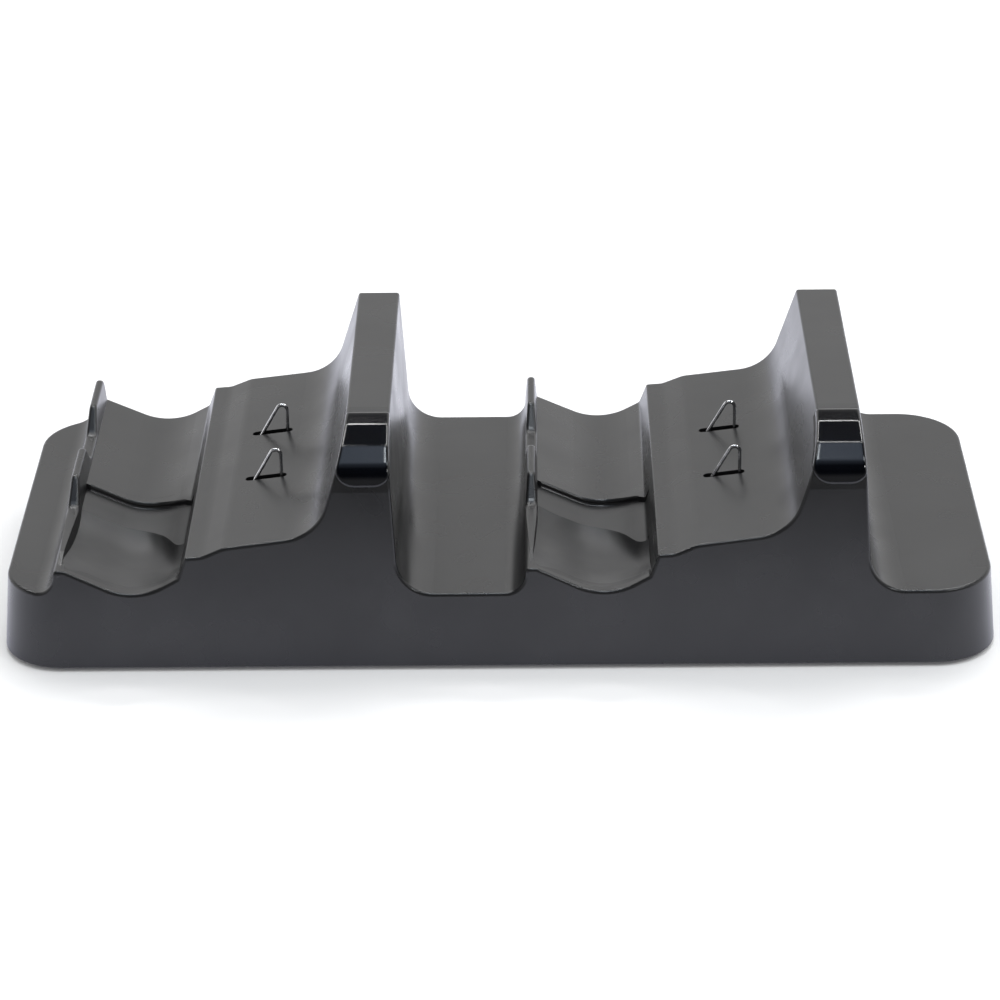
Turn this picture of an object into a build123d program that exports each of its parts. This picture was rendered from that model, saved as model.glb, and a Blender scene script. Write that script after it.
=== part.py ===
from build123d import *
import math
import os

os.makedirs("parts", exist_ok=True)

# Two-station controller charging dock. Millimetres, +Z up, front toward -Y.
# Heights are measured from the lower rim of the housing; the rubber feet lift
# that rim by foot_drop above the surface that the dock stands on.

# Housing plan and walls
left_shelf_width = 14.5  # left end to the first lip, at the rim
valley_width = 31.3      # first fin to the second lip
right_shelf_width = 32.4
dock_depth = 108.0
corner_radius = 16.0
side_lean = 4.3          # degrees from vertical
front_lean = 7.1
back_lean = 3.9
wall = 2.2
edge_round = 0.8
shelf_height = 18.8

# Lip on the left of each trough. Stations are drawn from the left edge of the ramp.
lip_reach = 31.4
lip_base_width = 3.2
lip_top_width = 1.9
lip_tip_width = 0.9
lip_foot_round = 5.0
lip_root_round = 1.2
lip_crest_round = 0.85
lip_low_rise = 7.5       # above the shelf
tab_rise = 12.9          # above the shelf
tab_length = 17.0
rear_tab_front = 33.5
front_tab_front = -9.5
tab_front_run = 7.0
tab_rear_run = 4.5
tab_crest_round = 2.4
notch_round = 4.5
lip_nose_run = 9.0
lip_nose_drop = 2.0
lip_back_gap = 0.02

# Trough
trough_left_rise = 6.4   # above the shelf
trough_left_slope = 24.9
trough_left_tuck = 0.2   # under the lip
trough_right_slope = 28.9
trough_right_inset = 2.0
trough_right_rise = 4.3
trough_round = 16.0
trough_corner_round = 1.6

# Recess in the front half of the trough
step_drop = 1.5
step_y = -0.5
step_sweep = 6.6         # how far the step comes forward on its right
step_round = 0.8
step_root_round = 0.7
step_blend = 0.02
dish_y = -14.0           # sharp rear edge of the dish
dish_bend = 55.0         # degrees that this edge turns forward on the right slope
dish_lead = 0.4          # the shaping surface starts this far above the stepped floor
dish_lead_run = 2.0
dish_drop = 1.6          # below the stepped floor
dish_rim_width = 7.0     # flat rim in front of the dish, from the foot of the front wall
dish_front_lift = 0.5    # of the dish's run-out over that rim
dish_side_gap = 0.35
dish_sections = 7

# Ramp
ramp_edge_rise = 9.7     # above the shelf
ramp_edge_round = 0.6
margin_width = 4.2
margin_rise = 0.3
ramp_step_run = 5.5
ramp_step_rise = 2.3
ramp_step_round = 6.0
ramp_slope = 7.1

# Fin
fin_reach = 39.9
fin_top_width = 10.8
fin_height = 57.0
fin_left_lean = 17.5
fin_right_lean = 3.3
fin_left_round = 12.0
fin_right_round = 9.0

# Light window over the nose of the fin
lens_start = 28.0        # from the front rim back to where the window begins
lens_drop = 10.4         # from the top of the fin down to its lower edge
lens_thickness = 2.4
lens_fit = 0.08
lens_corner_round = 5.0
lens_side_reach = 1.0
nose_first_run = 6.0
nose_first_drop = 0.8
nose_second_run = 8.0
nose_second_drop = 2.1
nose_front_drop = 7.0
nose_crease_round = 1.2
nose_front_round = 9.0
nose_top_round = 40.0

# Wire contacts and their slots
wire_diameter = 0.9
contact_rear_y = 15.4
contact_front_y = -11.7
slot_start = 12.6
slot_length = 10.6
slot_width = 2.3
loop_left = 15.3
loop_top_left = 19.3
loop_right = 21.9
loop_rise = 8.4          # above the ramp
loop_round = 1.3
leg_bend = 1.1           # below the ramp surface, where the slanted leg turns down
wire_foot_run = 3.0
contact_gap = 0.25

# Guide under each ramp
carrier_start = 11.2
carrier_length = 14.8
carrier_end_margin = 9.0
carrier_depth = 6.6
carrier_clear = 0.35
stake_diameter = 2.6
stake_fit = 0.05

# Base, posts and screws
base_thickness = 2.6
base_fit = 0.25
foot_drop = 1.2
foot_diameter = 13.0
foot_recess = 1.0
foot_fit = 0.05
foot_chamfer = 0.4
foot_end_inset = 24.0
foot_side_inset = 16.0
post_diameter = 7.0
post_end_inset = 8.0
post_side_inset = 16.0
screw_diameter = 2.6
screw_length = 8.0
screw_tip_gap = 1.0
screw_head_diameter = 5.0
screw_head_height = 1.3
screw_sink = 0.1
screw_fit = 0.05
head_clear = 0.2
drive_length = 3.2
drive_width = 0.7

# Circuit board and inlet
board_length = 46.0
board_depth = 34.0
board_thickness = 1.6
board_lift = 4.0
board_center_x = -7.0
board_edge_gap = 1.2
board_hole_clear = 0.15
standoff_diameter = 5.4
board_screw_inset = 5.0
board_screw_length = 4.5
socket_width = 9.0
socket_height = 4.4
socket_length = 8.0
socket_shell = 0.6
socket_round = 0.8
socket_fit = 0.15
socket_floor = 1.0
tongue_thickness = 1.0
tongue_width = 5.6
tongue_set_back = 1.2

# Light boards inside the fins
web_thickness = 2.0
light_board_width = 5.6
light_board_height = 11.0
light_board_thickness = 1.2
light_board_drop = 6.0   # below the top of the fin
light_width = 3.2
light_height = 2.8
light_depth = 1.6
light_board_share = 1 / 3

# Reach of cutting shapes past the housing
overhang = 10.0
along = 0.9              # share of a direction that counts as lying along it


def lean(angle):
    return math.tan(math.radians(angle))


def box(x0, x1, y0, y1, z0, z1):
    return Pos((x0 + x1) / 2, (y0 + y1) / 2, (z0 + z1) / 2) * Box(x1 - x0, y1 - y0, z1 - z0)


def rod(x, y, z0, z1, diameter):
    return Pos(x, y, z0) * Cylinder(diameter / 2, z1 - z0, align=(Align.CENTER, Align.CENTER, Align.MIN))


def polygon(*points):
    return make_face(Polyline(*points, close=True))


def rounded_face(corners):
    # closed outline from (u, v, radius) corners
    face = polygon(*[(u, v) for u, v, r in corners])
    for radius in sorted({r for u, v, r in corners if r > 0}, reverse=True):
        spots = [Vector(u, v) for u, v, r in corners if r == radius]
        picked = [min(face.vertices(), key=lambda p: (Vector(p) - s).length) for s in spots]
        face = fillet(picked, radius)
    return face


def inset_corners(corners, amount):
    # parallel outline inside a clockwise one: the edges move in, and outer rounds shrink with them
    moved = []
    for index, (u, v, r) in enumerate(corners):
        before = Vector(u, v) - Vector(*corners[index - 1][:2])
        after = Vector(*corners[(index + 1) % len(corners)][:2]) - Vector(u, v)
        a, b = before.normalized(), after.normalized()
        turn = a.X * b.Y - a.Y * b.X
        shift = (a - b) * (amount / turn) if abs(turn) > 1e-6 else Vector(a.Y, -a.X) * amount
        moved.append((u + shift.X, v + shift.Y, max(r - amount, 0) if turn < 0 else r))
    return moved


# Heights and corners of one station
trough_left_height = shelf_height + trough_left_rise
trough_right_height = shelf_height + trough_right_rise
ramp_edge_height = shelf_height + ramp_edge_rise
lip_low_height = shelf_height + lip_low_rise
tab_height = shelf_height + tab_rise
trough_left = -lip_reach + lip_base_width / 2 - trough_left_tuck
trough_span = -trough_right_inset - trough_left
trough_low_run = (trough_left_height - trough_right_height + trough_span * lean(trough_right_slope)) / (
    lean(trough_left_slope) + lean(trough_right_slope))
trough_low_x = trough_left + trough_low_run
trough_low_z = trough_left_height - trough_low_run * lean(trough_left_slope)
margin_height = ramp_edge_height + margin_rise
ramp_start_x = margin_width + ramp_step_run
ramp_start_z = margin_height + ramp_step_rise
fin_rise = fin_height - ramp_start_z + ramp_start_x * lean(ramp_slope)
fin_foot_x = (fin_reach - fin_rise * lean(fin_left_lean)) / (1 - lean(ramp_slope) * lean(fin_left_lean))
fin_right_x = fin_reach + fin_top_width
fin_right_foot = fin_right_x + (fin_height - shelf_height) * lean(fin_right_lean)
lip_outer = -lip_reach - lip_base_width / 2
top_limit = fin_height + overhang


def ramp_z(x):
    return ramp_start_z + (x - ramp_start_x) * lean(ramp_slope)


# Plan: the two stations and the flats between and beside them add up to the length
station_width = fin_right_foot - lip_outer
dock_length = left_shelf_width + valley_width + right_shelf_width + 2 * station_width
first_station = -dock_length / 2 + left_shelf_width - lip_outer
station_x = [first_station, first_station + station_width + valley_width]


def front_y(z):
    return -dock_depth / 2 + lean(front_lean) * z


def back_y(z):
    return dock_depth / 2 - lean(back_lean) * z


def half_length(z):
    return dock_length / 2 - lean(side_lean) * z


def run_depth(face):
    return extrude(Plane.XZ * face, amount=dock_depth, both=True)


def run_length(face):
    return extrude(Plane.YZ * face, amount=dock_length, both=True)


def station_corners(x0, hollow):
    # the hollow side has no flat under the lip
    lip_top = trough_left_height + (trough_left - lip_outer) * lean(trough_left_slope)
    lip_corners = [(lip_outer, lip_top, 0)] if hollow else [
        (lip_outer, trough_left_height, lip_root_round), (trough_left, trough_left_height, lip_root_round)]
    return [(x0 + u, v, r) for u, v, r in [
        (lip_outer, shelf_height, lip_foot_round), *lip_corners,
        (trough_low_x, trough_low_z, trough_round),
        (-trough_right_inset, trough_right_height, trough_corner_round),
        (0, ramp_edge_height, ramp_edge_round),
        (margin_width, margin_height, ramp_step_round),
        (ramp_start_x, ramp_start_z, ramp_step_round),
        (fin_foot_x, ramp_z(fin_foot_x), fin_left_round),
        (fin_reach, fin_height, 0), (fin_right_x, fin_height, 0),
        (fin_right_foot, shelf_height, fin_right_round)]]


def profile_corners(bottom, hollow):
    # the shelves run past the ends, which are cut by the leaning end walls
    end = dock_length / 2 + overhang
    return [
        (-end, bottom, 0), (-end, shelf_height, 0),
        *station_corners(station_x[0], hollow), *station_corners(station_x[1], hollow),
        (end, shelf_height, 0), (end, bottom, 0)]


def end_corners(bottom):
    return [
        (-half_length(bottom), bottom, 0), (-half_length(top_limit), top_limit, 0),
        (half_length(top_limit), top_limit, 0), (half_length(bottom), bottom, 0)]


def wall_corners(bottom):
    top = top_limit + overhang
    return [
        (front_y(bottom), bottom, 0), (front_y(top), top, 0),
        (back_y(top), top, 0), (back_y(bottom), bottom, 0)]


# Nose of the fins, from the side
nose_top_y = -dock_depth / 2 + lens_start
nose_1 = (nose_top_y - nose_first_run, fin_height - nose_first_drop)
nose_2 = (nose_1[0] - nose_second_run, nose_1[1] - nose_second_drop)
nose_3_z = fin_height - nose_front_drop
nose_3 = (front_y(nose_3_z), nose_3_z)
nose_pitch = (nose_2[1] - nose_3[1]) / (nose_2[0] - nose_3[0])


def nose_corners(bottom):
    end = dock_depth / 2 + overhang
    return [
        (-end, bottom, 0), (-end, nose_3[1] - (nose_3[0] + end) * nose_pitch, 0),
        (*nose_2, nose_crease_round), (*nose_1, nose_crease_round), (nose_top_y, fin_height, nose_top_round),
        (end, fin_height, 0), (end, bottom, 0)]


def side_corners(bottom):
    return [
        (front_y(bottom), bottom, 0), (*nose_3, nose_front_round),
        (*nose_2, nose_crease_round), (*nose_1, nose_crease_round), (nose_top_y, fin_height, nose_top_round),
        (back_y(fin_height), fin_height, 0), (back_y(bottom), bottom, 0)]


def is_nose(edge):
    spot = edge.center()
    return spot.Y < (nose_2[0] + nose_3[0]) / 2 and spot.Z > (ramp_z(fin_foot_x) + nose_3_z) / 2 and (
        abs(edge.tangent_at(0.5).X) > abs(edge.tangent_at(0.5).Z))


def housing(bottom, inset, hollow):
    # a drafted block with round upright corners, topped by the nose and the profile that runs front to back
    low = bottom - overhang
    walls, ends, nose, profile = [
        rounded_face(inset_corners(corners, inset)) for corners in (
            wall_corners(bottom), end_corners(low), nose_corners(low), profile_corners(low, hollow))]
    block = run_length(walls) & run_depth(ends)
    uprights = [edge for edge in block.edges() if abs(edge.tangent_at(0.5).Z) > 0.5]
    block = fillet(uprights, corner_radius - inset) & run_length(nose) & run_depth(profile)
    return fillet(block.edges().filter_by(is_nose), nose_front_round - inset)


# Recess: the front of the trough steps down, then dips in a shallow dish that rises to the front wall
def trough_air(drop, low_round):
    half_riser = (ramp_edge_height - trough_right_height) / 2
    return [
        (-lip_reach, top_limit, 0),
        (-lip_reach, trough_left_height + (trough_left + lip_reach) * lean(trough_left_slope) - drop, 0),
        (trough_low_x, trough_low_z - drop, low_round),
        (-trough_right_inset, trough_right_height - drop, trough_corner_round),
        (-trough_right_inset / 2, trough_right_height + half_riser, 0),
        (-trough_right_inset / 2, top_limit, 0)]


def trough_height(u):
    # height of the trough at u across it
    left, right = math.radians(trough_left_slope), math.radians(trough_right_slope)
    tangent = trough_round * math.tan((left + right) / 2)
    start_u = trough_low_x - tangent * math.cos(left)
    center_u = start_u + trough_round * math.sin(left)
    center_z = trough_low_z + tangent * math.sin(left) + trough_round * math.cos(left)
    if u < start_u:
        return trough_low_z + (trough_low_x - u) * math.tan(left)
    if u > trough_low_x + tangent * math.cos(right):
        return trough_low_z + (u - trough_low_x) * math.tan(right)
    return center_z - math.sqrt(trough_round ** 2 - (u - center_u) ** 2)


def dish_section(x0, u):
    edge_y = dish_y - max(u - trough_low_x, 0) * lean(dish_bend)
    start, end, top = edge_y + dish_lead_run, -dock_depth / 2 - edge_round, tab_height + overhang
    rim = -dock_depth / 2 + dish_rim_width
    bed = trough_height(u)
    floor = bed - step_drop
    low = ((edge_y + rim) / 2, floor - dish_drop)
    curve = Spline((start, floor + dish_lead), low, (rim, bed), (end, bed + dish_front_lift))
    lid = Line((end, top), (start, top))
    outline = make_face([curve, Line(curve @ 1, lid @ 0), lid, Line(lid @ 1, curve @ 0)])
    return Plane.YZ.offset(x0 + u) * outline


def step_front(x0, front):
    # plan of everything in front of the step, which comes forward on its right
    left, low, right = x0 - lip_reach - overhang, x0 + trough_low_x, x0 + margin_width
    bend = TangentArc((low, step_y), (x0 - trough_right_inset, step_y - step_sweep), tangent=(1, 0))
    far = (right, (bend @ 1).Y)
    plan = make_face([
        Line((left, step_y), (low, step_y)), bend, Line(bend @ 1, far), Line(far, (right, front)),
        Line((right, front), (left, front)), Line((left, front), (left, step_y))])
    return extrude(plan, amount=top_limit)


def faces_by_edge(solid):
    sides = {}
    for face in solid.faces():
        for edge in face.edges():
            sides.setdefault(edge, []).append(face)
    return sides


def step_edges(slab, above):
    # edges where the upright face of the step meets the floor behind it, or the floor in front of it
    picked = []
    for edge, faces in faces_by_edge(slab).items():
        upright = [face for face in faces if abs(face.normal_at(face.center()).Z) < step_blend]
        floor = [face for face in faces if face.normal_at(face.center()).Z > 1 - along]
        if len(upright) == len(floor) == 1 and -1 < upright[0].normal_at(upright[0].center()).X < 1:
            behind = floor[0].center().Y > step_y - step_sweep / 3
            on_step = step_y - step_sweep - step_drop / 2 < upright[0].center().Y < step_y + step_blend
            if on_step and behind == above:
                picked.append(edge)
    return picked


def step_slab(x0, band):
    # the floors on both sides of the step, with its upper edge and its root rounded
    ends = x0 + trough_left + lip_root_round, x0 - trough_right_inset - trough_corner_round
    bed = run_depth(rounded_face([(x0 + u, v, r) for u, v, r in trough_air(0, trough_round)]))
    front, back = step_y - step_sweep - 2 * step_drop, step_y + 4 * step_round
    reach = box(*ends, front, back, shelf_height / 2, tab_height)
    slab = (reach - bed) - band
    slab = fillet(step_edges(slab, False), step_root_round)
    return reach, fillet(step_edges(slab, True), step_round)


def recess(x0):
    floor = rounded_face([(x0 + u, v, r) for u, v, r in trough_air(step_drop, trough_round)])
    band = run_depth(floor) & step_front(x0, -dock_depth / 2 + corner_radius)
    first, last = -lip_reach + dish_side_gap, -trough_right_inset + dish_side_gap
    places = [first + (last - first) * index / (dish_sections - 1) for index in range(dish_sections)]
    return band, loft([dish_section(x0, u) for u in places])


def is_wall(face):
    # outer walls and the nose, but not the floor of a recess
    spot = face.center()
    normal = face.normal_at(spot)
    in_trough = spot.Z < ramp_edge_height and abs(spot.Y) < dock_depth / 2 - corner_radius
    at_end = abs(spot.X) > half_length(0) - corner_radius and abs(normal.X) > abs(normal.Z)
    return at_end or (abs(normal.Y) > lean(1) and not in_trough)


def rim_edges(solid):
    # where the top meets the outer walls, with the long edges of the fin tops
    rim = []
    for edge, faces in faces_by_edge(solid).items():
        on_wall = [is_wall(face) for face in faces]
        along_top = abs(edge.center().Z - fin_height) < lens_fit and abs(edge.tangent_at(0.5).Y) > along
        if along_top or (edge.center().Z > edge_round and sorted(on_wall) == [False, True]):
            rim.append(edge)
    return rim


body = housing(0, 0, False)
body = fillet(rim_edges(body), edge_round)
cavity = housing(-overhang, wall, True)
core = housing(0, wall / 2, True)  # middle of the skin, where inner ribs and posts take root
for x0 in station_x:
    band, dish = recess(x0)
    reach, slab = step_slab(x0, band)
    body = body - band - dish
    body = body + Pos(0, step_blend, -step_blend) * slab
    body = body - (reach - Pos(0, -step_blend, step_blend) * slab)
    cavity = cavity - Pos(0, wall, -wall) * band - Pos(0, wall, -wall) * dish


# Lip with two tabs; its low wall narrows toward the front
def lip(x0):
    middle = x0 - lip_reach
    root = shelf_height + lip_foot_round / 2
    front_tab_rear = front_tab_front + tab_length
    low_front = front_tab_front - tab_front_run
    tip = front_y(lip_low_height) + lip_nose_run
    back = back_y(tab_height) - lip_back_gap
    nose = lip_low_height - lip_nose_drop
    half_base, half_top, half_tip = lip_base_width / 2, lip_top_width / 2, lip_tip_width / 2
    section = polygon(
        (middle - half_base, root), (middle - half_base, trough_left_height), (middle - half_top, tab_height),
        (middle + half_top, tab_height), (middle + half_base, trough_left_height), (middle + half_base, root))
    contour = rounded_face([
        (back, root, 0), (back, tab_height, tab_crest_round),
        (rear_tab_front, tab_height, tab_crest_round),
        (rear_tab_front - tab_front_run, lip_low_height, notch_round),
        (front_tab_rear + tab_rear_run, lip_low_height, notch_round),
        (front_tab_rear, tab_height, tab_crest_round),
        (front_tab_front, tab_height, tab_crest_round), (low_front, lip_low_height, notch_round),
        (tip, lip_low_height, notch_round), (front_y(nose) + lip_back_gap, nose, 0),
        (front_y(nose) + lip_back_gap, root, 0)])
    plan = polygon(
        (middle - lip_base_width, dock_depth), (middle + lip_base_width, dock_depth),
        (middle + lip_base_width, low_front), (middle + half_base, low_front), (middle + half_tip, tip),
        (middle + half_tip, -dock_depth), (middle - half_tip, -dock_depth), (middle - half_tip, tip),
        (middle - half_base, low_front), (middle - lip_base_width, low_front))
    ridge = run_depth(section) & run_length(contour)
    crest = [
        edge for edge in ridge.edges() if edge.center().Z > trough_left_height + edge_round
        and abs(edge.center().X - middle) > half_tip / 2 and abs(edge.tangent_at(0.5).X) < 0.5]
    return fillet(crest, lip_crest_round) & extrude(plan, amount=top_limit)


shell = body - cavity
for x0 in station_x:
    shell = shell + lip(x0)


# Light windows: a band of constant thickness over each nose
def lens_zone(x0, fit):
    bottom = fin_height - lens_drop
    left = x0 + fin_reach - lens_side_reach
    right = x0 + fin_right_x + lens_side_reach
    frame = polygon(
        (-dock_depth, bottom - overhang), (-dock_depth, top_limit), (nose_top_y - fit, top_limit),
        (nose_top_y - fit, bottom - overhang))
    band = frame - rounded_face(inset_corners(side_corners(bottom - 2 * overhang), lens_thickness))
    pane = rounded_face(inset_corners([
        (left - lens_drop * lean(fin_left_lean), bottom, lens_corner_round),
        (left + overhang * lean(fin_left_lean), top_limit, 0),
        (right - overhang * lean(fin_right_lean), top_limit, 0),
        (right + lens_drop * lean(fin_right_lean), bottom, lens_corner_round)], fit))
    return run_length(band) & run_depth(pane)


lenses = [body & lens_zone(x0, lens_fit) for x0 in station_x]

# Webs across the fins carry the light boards and the rear end of each window
fin_middle = fin_reach + fin_top_width / 2
for x0 in station_x:
    web = box(
        x0 + fin_foot_x, x0 + fin_right_foot, nose_top_y, nose_top_y + web_thickness,
        ramp_z(fin_foot_x), top_limit)
    shell = shell + (web & core)

# Posts for the base screws reach up to the skin under the shelves
sides = {"left": -1, "right": 1}
ends = {"front": -1, "rear": 1}
post_spots = [
    (dx * (dock_length / 2 - post_end_inset), dy * (dock_depth / 2 - post_side_inset))
    for dx in sides.values() for dy in ends.values()]
screw_top = screw_sink + screw_head_height + screw_length
for x, y in post_spots:
    shell = shell + rod(x, y, base_thickness, shelf_height - wall / 2, post_diameter)
    shell = shell - rod(x, y, 0, screw_top + screw_tip_gap, screw_diameter + 2 * screw_fit)

# Guide under each ramp, held by two stakes of the housing
contact_ys = {"rear": contact_rear_y, "front": contact_front_y}
carrier_front = min(contact_ys.values()) - carrier_end_margin
carrier_rear = max(contact_ys.values()) + carrier_end_margin
carrier_end = carrier_start + carrier_length
skin = wall / math.cos(math.radians(ramp_slope))
carrier_bottom = ramp_z(carrier_start) - skin - carrier_depth
stake_x = carrier_start + carrier_length / 2
stake_ys = [carrier_front + carrier_end_margin / 2, carrier_rear - carrier_end_margin / 2]


def slot(x0, y, z0, grow):
    outline = SlotOverall(slot_length + 2 * grow, slot_width + 2 * grow)
    return Pos(x0 + slot_start + slot_length / 2, y, z0) * extrude(outline, amount=top_limit - z0)


carriers = []
for x0 in station_x:
    outline = polygon(
        (x0 + carrier_start, carrier_bottom), (x0 + carrier_end, carrier_bottom),
        (x0 + carrier_end, ramp_z(carrier_end) - skin), (x0 + carrier_start, ramp_z(carrier_start) - skin))
    carrier = extrude(Plane.XZ.offset(-carrier_rear) * outline, amount=carrier_rear - carrier_front)
    for y in contact_ys.values():
        shell = shell - slot(x0, y, carrier_bottom, 0)
        carrier = carrier - slot(x0, y, 0, carrier_clear)
    for y in stake_ys:
        shell = shell + (rod(x0 + stake_x, y, carrier_bottom, top_limit, stake_diameter) & core)
        carrier = carrier - rod(x0 + stake_x, y, 0, top_limit, stake_diameter + 2 * stake_fit)
    carriers.append(carrier)


# Spring-wire contacts: slanted leg, tight loop, upright leg and two turned-out feet
def contact(x0, y):
    radius = wire_diameter / 2
    foot_z = carrier_bottom - contact_gap - radius
    slant = (loop_top_left - loop_left) / (loop_rise - loop_round)
    bend_x = loop_left - leg_bend * slant
    crown = loop_rise - radius
    crown_z = ramp_z(loop_left) + crown
    path = FilletPolyline(
        (bend_x - wire_foot_run, foot_z), (bend_x, foot_z), (bend_x, ramp_z(loop_left) - leg_bend),
        (loop_left + crown * slant, crown_z), (loop_right, crown_z),
        (loop_right, foot_z), (loop_right + wire_foot_run, foot_z), radius=loop_round)
    route = Plane(origin=(x0, y, 0), x_dir=(1, 0, 0), z_dir=(0, -1, 0)) * path
    return sweep(Plane(origin=route @ 0, z_dir=route % 0) * Circle(radius), path=route)


# Base plate inside the rim, with standoffs for the board
def base_section(z):
    length = 2 * (half_length(z) - wall - base_fit)
    depth = back_y(z) - front_y(z) - 2 * (wall + base_fit)
    return Pos(0, (front_y(z) + back_y(z)) / 2, z) * RectangleRounded(length, depth, corner_radius - wall)


base = loft([base_section(0), base_section(base_thickness)], ruled=True)
foot_spots = {
    place + "_" + side: (dx * (dock_length / 2 - foot_end_inset), dy * (dock_depth / 2 - foot_side_inset))
    for place, dy in ends.items() for side, dx in sides.items()}
board_bottom = base_thickness + board_lift
board_top = board_bottom + board_thickness
board_rear = back_y(board_bottom) - wall - board_edge_gap
board_front = board_rear - board_depth
board_xs = [board_center_x + dx * (board_length / 2 - board_screw_inset) for dx in sides.values()]
board_screw_spots = [(x, board_front + board_screw_inset) for x in board_xs]
rest_spots = [(x, board_rear - board_screw_inset) for x in board_xs]
for x, y in board_screw_spots + rest_spots:
    base = base + rod(x, y, base_thickness, board_bottom, standoff_diameter)
board_screw_tip = board_top - board_screw_length - screw_tip_gap
for x, y in board_screw_spots:
    base = base - rod(x, y, board_screw_tip, board_bottom, screw_diameter + 2 * screw_fit)
for x, y in post_spots:
    base = base - rod(x, y, 0, base_thickness, screw_diameter + 2 * screw_fit)
    base = base - rod(x, y, 0, screw_sink + screw_head_height, screw_head_diameter + 2 * head_clear)
for x, y in foot_spots.values():
    base = base - rod(x, y, 0, foot_recess, foot_diameter + 2 * foot_fit)


def foot(x, y):
    pad = rod(x, y, -foot_drop, foot_recess, foot_diameter)
    return chamfer(pad.edges().filter_by(GeomType.CIRCLE).sort_by(Axis.Z)[0], foot_chamfer)


def screw(length):
    # driven upward, with a cross in its head
    piece = rod(0, 0, 0, screw_head_height, screw_head_diameter)
    piece = piece + rod(0, 0, screw_head_height, screw_head_height + length, screw_diameter)
    for size in ((drive_length, drive_width), (drive_width, drive_length)):
        piece = piece - Box(*size, 2 * drive_width)
    return piece


base_screws = Part() + [Pos(x, y, screw_sink) * screw(screw_length) for x, y in post_spots]

# Circuit board and its screws
board_left = board_center_x - board_length / 2
board = box(board_left, board_left + board_length, board_front, board_rear, board_bottom, board_top)
for x, y in board_screw_spots:
    board = board - rod(x, y, board_bottom, board_top, screw_diameter + 2 * board_hole_clear)
board_screws = Part() + [
    Pos(x, y, board_top + screw_head_height) * Rot(180, 0, 0) * screw(board_screw_length)
    for x, y in board_screw_spots]

# Inlet socket on the rear edge of the board, open to the back
socket_middle = board_top + socket_height / 2
socket_rear = back_y(socket_middle)
socket_front = socket_rear - socket_length


def along_back(width, height, radius, y0, y1):
    face = Pos(board_center_x, socket_middle) * RectangleRounded(width, height, radius)
    return extrude(Plane.XZ.offset(-y1) * face, amount=y1 - y0)


def socket_part(grow, y0, y1):
    return along_back(socket_width + 2 * grow, socket_height + 2 * grow, socket_round + grow, y0, y1)


socket = socket_part(0, socket_front, dock_depth)
socket = socket - socket_part(-socket_shell, socket_front + socket_floor, dock_depth)
socket = socket + along_back(
    tongue_width, tongue_thickness, tongue_thickness / 4,
    socket_front + socket_floor / 2, socket_rear - tongue_set_back)
socket = socket & run_length(polygon((0, 0), (0, top_limit), (back_y(top_limit), top_limit), (back_y(0), 0)))
shell = shell - socket_part(socket_fit, socket_front, dock_depth)

# Lights behind the windows
light_boards, lights = [], []
light_board_top = fin_height - light_board_drop
light_z = light_board_top - light_board_height * light_board_share
light_y = nose_top_y - light_board_thickness
for x0 in station_x:
    middle = x0 + fin_middle
    light_boards.append(box(
        middle - light_board_width / 2, middle + light_board_width / 2, light_y, nose_top_y,
        light_board_top - light_board_height, light_board_top))
    lights.append(box(
        middle - light_width / 2, middle + light_width / 2, light_y - light_depth, light_y,
        light_z - light_height / 2, light_z + light_height / 2))

for x0 in station_x:
    shell = shell - lens_zone(x0, 0)

pieces = {
    "upper_shell": shell, "base_plate": base, "main_board": board, "power_socket": socket,
    "base_screws": base_screws, "board_screws": board_screws}
for index, side in enumerate(sides):
    pieces["lens_" + side] = lenses[index]
    pieces["carrier_" + side] = carriers[index]
    pieces["light_board_" + side] = light_boards[index]
    pieces["light_" + side] = lights[index]
    for place, y in contact_ys.items():
        pieces["contact_" + side + "_" + place] = contact(station_x[index], y)
for spot, (x, y) in foot_spots.items():
    pieces["foot_" + spot] = foot(x, y)

for name, piece in pieces.items():
    export_step(Pos(0, 0, foot_drop) * piece, "parts/" + name + ".step")
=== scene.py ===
import math
import bpy
from mathutils import Matrix, Vector

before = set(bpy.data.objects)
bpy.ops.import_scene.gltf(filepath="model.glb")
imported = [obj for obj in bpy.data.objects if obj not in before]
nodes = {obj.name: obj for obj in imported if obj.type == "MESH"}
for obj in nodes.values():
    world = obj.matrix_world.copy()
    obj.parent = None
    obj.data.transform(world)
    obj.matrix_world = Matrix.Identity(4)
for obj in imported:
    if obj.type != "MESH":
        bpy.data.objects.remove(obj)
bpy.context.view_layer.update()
bpy.ops.object.select_all(action="DESELECT")
print("frame loaded:", len(nodes), "nodes")


# small helpers for shader trees
def startMaterial(name):
    material = bpy.data.materials.new(name)
    material.use_nodes = True
    tree = material.node_tree
    return material, tree, tree.nodes["Principled BSDF"]


def addCoords(tree):
    return tree.nodes.new("ShaderNodeTexCoord").outputs["Object"]


def addNoise(tree, coords, scale, detail):
    noise = tree.nodes.new("ShaderNodeTexNoise")
    noise.inputs["Scale"].default_value = scale
    noise.inputs["Detail"].default_value = detail
    tree.links.new(coords, noise.inputs["Vector"])
    return noise.outputs["Fac"]


def addRange(tree, source, low, high, fromLow=0.0, fromHigh=1.0):
    spread = tree.nodes.new("ShaderNodeMapRange")
    spread.inputs["From Min"].default_value = fromLow
    spread.inputs["From Max"].default_value = fromHigh
    spread.inputs["To Min"].default_value = low
    spread.inputs["To Max"].default_value = high
    tree.links.new(source, spread.inputs["Value"])
    return spread.outputs["Result"]


def addRamp(tree, source, stops):
    ramp = tree.nodes.new("ShaderNodeValToRGB")
    while len(ramp.color_ramp.elements) < len(stops):
        ramp.color_ramp.elements.new(0.5)
    for element, (place, color) in zip(ramp.color_ramp.elements, stops):
        element.position = place
        element.color = (*color, 1)
    tree.links.new(source, ramp.inputs["Fac"])
    return ramp.outputs["Color"]


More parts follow.
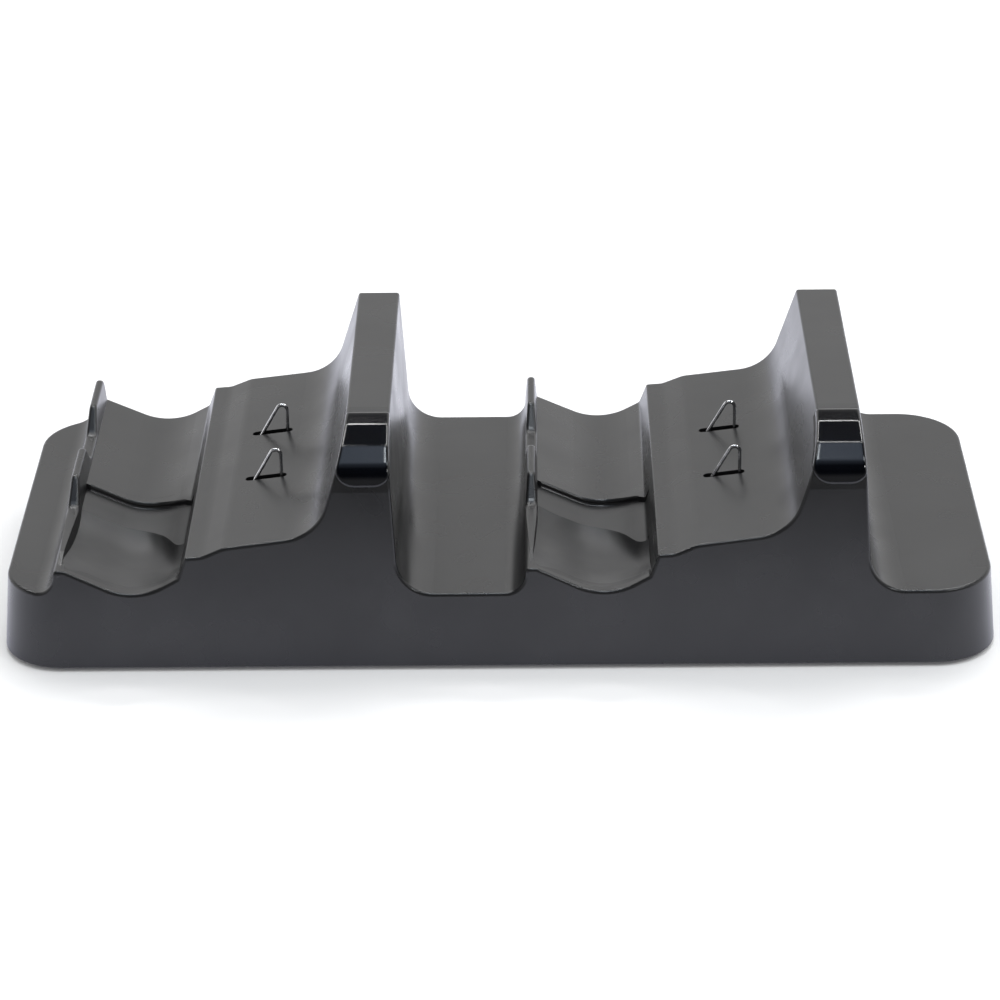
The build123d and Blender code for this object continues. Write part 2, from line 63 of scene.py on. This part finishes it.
def addBump(tree, shader, source, strength, distance):
    bump = tree.nodes.new("ShaderNodeBump")
    bump.inputs["Strength"].default_value = strength
    bump.inputs["Distance"].default_value = distance
    tree.links.new(source, bump.inputs["Height"])
    tree.links.new(bump.outputs["Normal"], shader.inputs["Normal"])


def addMath(tree, kind, *values):
    step = tree.nodes.new("ShaderNodeMath")
    step.operation = kind
    for socket, value in zip(step.inputs, values):
        if isinstance(value, (int, float)):
            socket.default_value = value
        else:
            tree.links.new(value, socket)
    return step.outputs[0]


def addColorMix(tree, blend):
    mix = tree.nodes.new("ShaderNodeMix")
    mix.data_type = "RGBA"
    mix.blend_type = blend
    return mix, mix.inputs[6], mix.inputs[7], mix.outputs[2]    # with its colour sockets


def addRays(tree, *kinds):
    rays = tree.nodes.new("ShaderNodeLightPath")
    result = rays.outputs[kinds[0]]
    for kind in kinds[1:]:
        result = addMath(tree, "MAXIMUM", result, rays.outputs[kind])
    return result


# moulded black plastic of the housing
blackPlastic = {
    "deep": (0.0050, 0.0050, 0.0054),
    "worn": (0.0100, 0.0100, 0.0106),
    "toneScale": 22,
    "toneDetail": 4,
    "toneStops": (0.35, 0.7),
    "smearScale": 60,
    "smearDetail": 2,
    "smearStops": (0.3, 0.7),
    "glossLow": 0.25,
    "glossHigh": 0.34,
    "waviness": 0.06,
    "wavinessScale": 28,
    "wavinessDetail": 2,
    "wavinessDepth": 0.001,
    "ior": 1.5,
}

# matter finish in the recess of each trough, in metres
recessFinish = {
    "middles": (-0.0935, 0.0237),
    "halfWidth": 0.0150,
    "height": (0.0205, 0.0068),     # middle and half size
    "rear": (-0.0005, -0.0075),     # fades in over this length
    "front": -0.0488,
    "matte": 0.14,
}


def addRecessMask(tree, coords):
    place = tree.nodes.new("ShaderNodeSeparateXYZ")
    tree.links.new(coords, place.inputs[0])
    left, right = [
        addMath(tree, "COMPARE", place.outputs["X"], middle, recessFinish["halfWidth"])
        for middle in recessFinish["middles"]]
    across = addMath(tree, "MAXIMUM", left, right)
    high = addMath(tree, "COMPARE", place.outputs["Z"], *recessFinish["height"])
    behind = addRange(tree, place.outputs["Y"], 0, 1, *recessFinish["rear"])
    before = addMath(tree, "GREATER_THAN", place.outputs["Y"], recessFinish["front"])
    section = addMath(tree, "MULTIPLY", across, high)
    return addMath(tree, "MULTIPLY", section, addMath(tree, "MULTIPLY", behind, before))


def makeBlackPlastic(name):
    material, tree, shader = startMaterial(name)
    coords = addCoords(tree)
    cloud = addNoise(tree, coords, blackPlastic["toneScale"], blackPlastic["toneDetail"])
    tones = blackPlastic["deep"], blackPlastic["worn"]
    tone = addRamp(tree, cloud, list(zip(blackPlastic["toneStops"], tones)))
    tree.links.new(tone, shader.inputs["Base Color"])
    smear = addNoise(tree, coords, blackPlastic["smearScale"], blackPlastic["smearDetail"])
    gloss = addRange(
        tree, smear, blackPlastic["glossLow"], blackPlastic["glossHigh"], *blackPlastic["smearStops"])
    matte = addMath(tree, "MULTIPLY", addRecessMask(tree, coords), recessFinish["matte"])
    tree.links.new(addMath(tree, "ADD", gloss, matte), shader.inputs["Roughness"])
    shader.inputs["IOR"].default_value = blackPlastic["ior"]
    wave = addNoise(tree, coords, blackPlastic["wavinessScale"], blackPlastic["wavinessDetail"])
    addBump(tree, shader, wave, blackPlastic["waviness"], blackPlastic["wavinessDepth"])
    return material


# smoked window over the fin's nose
smokedWindow = {
    "color": (0.0006, 0.0008, 0.0014),
    "hazeColor": (0.0010, 0.0013, 0.0026),
    "hazeScale": 90,
    "hazeDetail": 3,
    "hazeStops": (0.3, 0.8),
    "glossLow": 0.06,
    "glossHigh": 0.09,
    "ior": 1.52,
    "edgeRound": 0.0010,    # soft turn of the light over creases and ends, in metres
    "edgeSamples": 8,
}


def makeSmokedWindow(name):
    material, tree, shader = startMaterial(name)
    haze = addNoise(tree, addCoords(tree), smokedWindow["hazeScale"], smokedWindow["hazeDetail"])
    tones = smokedWindow["color"], smokedWindow["hazeColor"]
    tone = addRamp(tree, haze, list(zip(smokedWindow["hazeStops"], tones)))
    tree.links.new(tone, shader.inputs["Base Color"])
    gloss = addRange(tree, haze, smokedWindow["glossLow"], smokedWindow["glossHigh"])
    tree.links.new(gloss, shader.inputs["Roughness"])
    shader.inputs["IOR"].default_value = smokedWindow["ior"]
    turn = tree.nodes.new("ShaderNodeBevel")
    turn.samples = smokedWindow["edgeSamples"]
    turn.inputs["Radius"].default_value = smokedWindow["edgeRound"]
    tree.links.new(turn.outputs["Normal"], shader.inputs["Normal"])
    return material


# drawn spring wire
springWire = {
    "light": (0.80, 0.80, 0.80),
    "dull": (0.55, 0.55, 0.56),
    "metallic": 1,
    "tarnishScale": 400,
    "tarnishDetail": 3,
    "tarnishStops": (0.35, 0.6),
    "glossLow": 0.14,
    "glossHigh": 0.3,
    "drawLines": 1500,
    "drawDetail": 2,
    "drawStrength": 0.08,
    "drawDepth": 0.0001,
}


def makeSpringWire(name):
    material, tree, shader = startMaterial(name)
    coords = addCoords(tree)
    shader.inputs["Metallic"].default_value = springWire["metallic"]
    tarnish = addNoise(tree, coords, springWire["tarnishScale"], springWire["tarnishDetail"])
    tones = springWire["dull"], springWire["light"]
    tone = addRamp(tree, tarnish, list(zip(springWire["tarnishStops"], tones)))
    tree.links.new(tone, shader.inputs["Base Color"])
    gloss = addRange(tree, tarnish, springWire["glossLow"], springWire["glossHigh"])
    tree.links.new(gloss, shader.inputs["Roughness"])
    lines = addNoise(tree, coords, springWire["drawLines"], springWire["drawDetail"])
    addBump(tree, shader, lines, springWire["drawStrength"], springWire["drawDepth"])
    return material


# plainer finishes of the pieces underneath and inside
steel = {
    "dark": (0.42, 0.42, 0.42), "light": (0.6, 0.6, 0.6), "scale": 150,
    "rough": (0.25, 0.4), "grainScale": 1800, "grain": 0.08, "metallic": 1}
plainFinishes = {
    "basePlastic": {
        "dark": (0.008, 0.008, 0.008), "light": (0.014, 0.014, 0.014), "scale": 30,
        "rough": (0.45, 0.6), "grainScale": 1500, "grain": 0.25, "metallic": 0},
    "guidePlastic": {
        "dark": (0.010, 0.010, 0.010), "light": (0.02, 0.02, 0.02), "scale": 60,
        "rough": (0.4, 0.5), "grainScale": 900, "grain": 0.1, "metallic": 0},
    "circuitBoard": {
        "dark": (0.01, 0.07, 0.025), "light": (0.02, 0.11, 0.04), "scale": 80,
        "rough": (0.3, 0.4), "grainScale": 1200, "grain": 0.05, "metallic": 0},
    "footRubber": {
        "dark": (0.012, 0.012, 0.012), "light": (0.022, 0.022, 0.022), "scale": 120,
        "rough": (0.7, 0.85), "grainScale": 2200, "grain": 0.3, "metallic": 0},
    "lightResin": {
        "dark": (0.7, 0.72, 0.76), "light": (0.8, 0.82, 0.85), "scale": 200,
        "rough": (0.15, 0.25), "grainScale": 600, "grain": 0.02, "metallic": 0},
    "socketSteel": steel,
    "screwSteel": steel,
}
plainTexture = {"stops": (0.3, 0.7), "cloudDetail": 4, "grainDetail": 2, "grainDepth": 0.0002}


def makePlainFinish(name, finish):
    material, tree, shader = startMaterial(name)
    coords = addCoords(tree)
    cloud = addNoise(tree, coords, finish["scale"], plainTexture["cloudDetail"])
    tones = finish["dark"], finish["light"]
    tone = addRamp(tree, cloud, list(zip(plainTexture["stops"], tones)))
    tree.links.new(tone, shader.inputs["Base Color"])
    tree.links.new(addRange(tree, cloud, *finish["rough"]), shader.inputs["Roughness"])
    shader.inputs["Metallic"].default_value = finish["metallic"]
    texture = addNoise(tree, coords, finish["grainScale"], plainTexture["grainDetail"])
    addBump(tree, shader, texture, finish["grain"], plainTexture["grainDepth"])
    return material


looks = {
    "blackPlastic": makeBlackPlastic("blackPlastic"),
    "smokedWindow": makeSmokedWindow("smokedWindow"),
    "springWire": makeSpringWire("springWire"),
}
for finishName, finish in plainFinishes.items():
    looks[finishName] = makePlainFinish(finishName, finish)

# the longest start that fits a node's name decides its finish
nodeLooks = {
    "upper_shell": "blackPlastic",
    "base_plate": "basePlastic",
    "main_board": "circuitBoard",
    "power_socket": "socketSteel",
    "base_screws": "screwSteel",
    "board_screws": "screwSteel",
    "lens": "smokedWindow",
    "carrier": "guidePlastic",
    "light_board": "circuitBoard",
    "light": "lightResin",
    "contact": "springWire",
    "foot": "footRubber",
}
for nodeName, piece in nodes.items():
    best = max((start for start in nodeLooks if nodeName.startswith(start)), key=len)
    look = looks[nodeLooks[best]]
    for index in range(len(piece.data.materials)):
        piece.data.materials[index] = look
    if not piece.data.materials:
        piece.data.materials.append(look)
print("finishes set:", len(looks))

# camera at the photograph's angle
cameraLook = {
    "place": (0.01096, -0.84630, 0.43870),
    "downTilt": 26.3,
    "turn": 0.735,
    "roll": -0.742,
    "focalPixels": 3624.0,
    "pictureWidth": 1000,
    "sensor": 36.0,
    "clip": (0.05, 20),
}
bpy.ops.object.camera_add()
camera = bpy.context.object
camera.data.sensor_width = cameraLook["sensor"]
camera.data.lens = cameraLook["focalPixels"] / cameraLook["pictureWidth"] * cameraLook["sensor"]
camera.data.clip_start, camera.data.clip_end = cameraLook["clip"]
camera.matrix_world = (
    Matrix.Translation(cameraLook["place"])
    @ Matrix.Rotation(math.radians(cameraLook["turn"]), 4, "Z")
    @ Matrix.Rotation(math.radians(90 - cameraLook["downTilt"]), 4, "X")
    @ Matrix.Rotation(math.radians(cameraLook["roll"]), 4, "Z"))
bpy.context.scene.camera = camera
print("camera set")

# room around the dock
studio = {
    "ambient": 0.80,
    "mirrored": 1.0,
    "seen": 1.0,
    # what shiny surfaces see, by height: dark room under the paper, white backdrop, dark ceiling, lit middle
    "backdrop": [
        (0.49, (0.03, 0.03, 0.035)), (0.50, (1.05, 1.05, 1.05)), (0.73, (1.05, 1.05, 1.05)),
        (0.77, (0.60, 0.60, 0.60)), (0.81, (0.14, 0.14, 0.14)), (0.85, (0.05, 0.05, 0.055)),
        (0.955, (0.10, 0.11, 0.13)), (0.985, (0.85, 1.0, 1.25))],
    "nearSide": [(0.40, (0.28, 0.28, 0.29)), (0.47, (1, 1, 1))],    # dimmer room on the near side
}
world = bpy.data.worlds.new("studio")
bpy.context.scene.world = world
world.use_nodes = True
sky = world.node_tree
sky.nodes.clear()


def addLight(strength):
    light = sky.nodes.new("ShaderNodeBackground")
    light.inputs["Color"].default_value = (1, 1, 1, 1)
    light.inputs["Strength"].default_value = strength
    return light


def addLightMix(factor, first, second):
    mix = sky.nodes.new("ShaderNodeMixShader")
    sky.links.new(factor, mix.inputs[0])
    sky.links.new(first.outputs[0], mix.inputs[1])
    sky.links.new(second.outputs[0], mix.inputs[2])
    return mix


direction = sky.nodes.new("ShaderNodeTexCoord")
heading = sky.nodes.new("ShaderNodeSeparateXYZ")
sky.links.new(direction.outputs["Generated"], heading.inputs[0])
level = addRange(sky, heading.outputs["Z"], 0, 1, -1, 1)
depth = addRange(sky, heading.outputs["Y"], 0, 1, -1, 1)
room, firstColor, secondColor, roomColor = addColorMix(sky, "MULTIPLY")
room.inputs["Factor"].default_value = 1
sky.links.new(addRamp(sky, level, studio["backdrop"]), firstColor)
sky.links.new(addRamp(sky, depth, studio["nearSide"]), secondColor)
mirrored = addLight(studio["mirrored"])
sky.links.new(roomColor, mirrored.inputs["Color"])
shinyRays = addRays(sky, "Is Glossy Ray", "Is Transmission Ray")
shiny = addLightMix(shinyRays, addLight(studio["ambient"]), mirrored)
seen = addLightMix(addRays(sky, "Is Camera Ray"), shiny, addLight(studio["seen"]))
skyOut = sky.nodes.new("ShaderNodeOutputWorld")
sky.links.new(seen.outputs[0], skyOut.inputs[0])

# sheet of pale paper that the dock stands on
paperFloor = {
    "color": (0.84, 0.84, 0.845),
    "lift": (0.03, 0.03, 0.03),
    "glow": (0.26, 0.27, 0.42),     # bluish glow the paper gives only to reflected rays: a painted reflection on the shiny walls
    "roughness": 0.6,
    "size": 6.0,
    "front": -0.215,                # near edge
}
bpy.ops.mesh.primitive_plane_add(
    size=paperFloor["size"], location=(0, paperFloor["front"] + paperFloor["size"] / 2, 0))
floor = bpy.context.object
floor.name = "floor"
floorMaterial, floorTree, floorShader = startMaterial("floorPaper")
floorShader.inputs["Base Color"].default_value = (*paperFloor["color"], 1)
floorShader.inputs["Roughness"].default_value = paperFloor["roughness"]
# painted reflection: the paper glows bluish only for glossy rays, tinting the shiny walls that mirror it
glow, firstColor, secondColor, glowColor = addColorMix(floorTree, "MIX")
firstColor.default_value = (*paperFloor["lift"], 1)
secondColor.default_value = (*paperFloor["glow"], 1)
mirrorRays = addRays(floorTree, "Is Glossy Ray", "Is Transmission Ray")
floorTree.links.new(mirrorRays, glow.inputs["Factor"])
floorTree.links.new(glowColor, floorShader.inputs["Emission Color"])
litRays = addRays(floorTree, "Is Camera Ray", "Is Glossy Ray", "Is Transmission Ray")
floorTree.links.new(litRays, floorShader.inputs["Emission Strength"])
floor.data.materials.append(floorMaterial)
print("floor set")

# lamps: place, aim, size, power and tint
coolWhite, white = (0.90, 0.96, 1.0), (1, 1, 1)
dockMiddle, dockCentre = (0.05, 0.03, 0), (0, 0, 0.03)
softboxes = {
    "keyBox": ((0.80, -0.50, 1.00), dockCentre, (0.10, 0.10), 2.4, white),
    "topBox": ((0.05, 0.03, 1.30), dockMiddle, (0.16, 0.30), 2.6, coolWhite),
    "sideBox": ((0.75, 0.03, 1.10), dockMiddle, (0.30, 0.30), 2.0, coolWhite),
    "leftBox": ((-0.34, 0.80, 0.95), dockCentre, (0.56, 0.06), 2.6, white),
    "rightBox": ((0.32, 0.80, 0.95), dockCentre, (0.64, 0.06), 2.8, white),
    "leftStrip": ((-0.28, 0.44, 1.05), dockCentre, (0.42, 0.035), 1.0, white),
    "rightStrip": ((0.28, 0.44, 1.05), dockCentre, (0.58, 0.035), 1.4, white),
}
for lampName, (place, aim, size, power, tint) in softboxes.items():
    bpy.ops.object.light_add(type="AREA", location=place)
    lamp = bpy.context.object
    lamp.name = lampName
    lamp.data.shape = "RECTANGLE"
    lamp.data.size, lamp.data.size_y = size
    lamp.data.energy = power
    lamp.data.color = tint
    lamp.rotation_euler = (Vector(aim) - Vector(place)).to_track_quat("-Z", "Y").to_euler()
bpy.context.scene.view_settings.view_transform = "Standard"
print("lamps set:", len(softboxes))
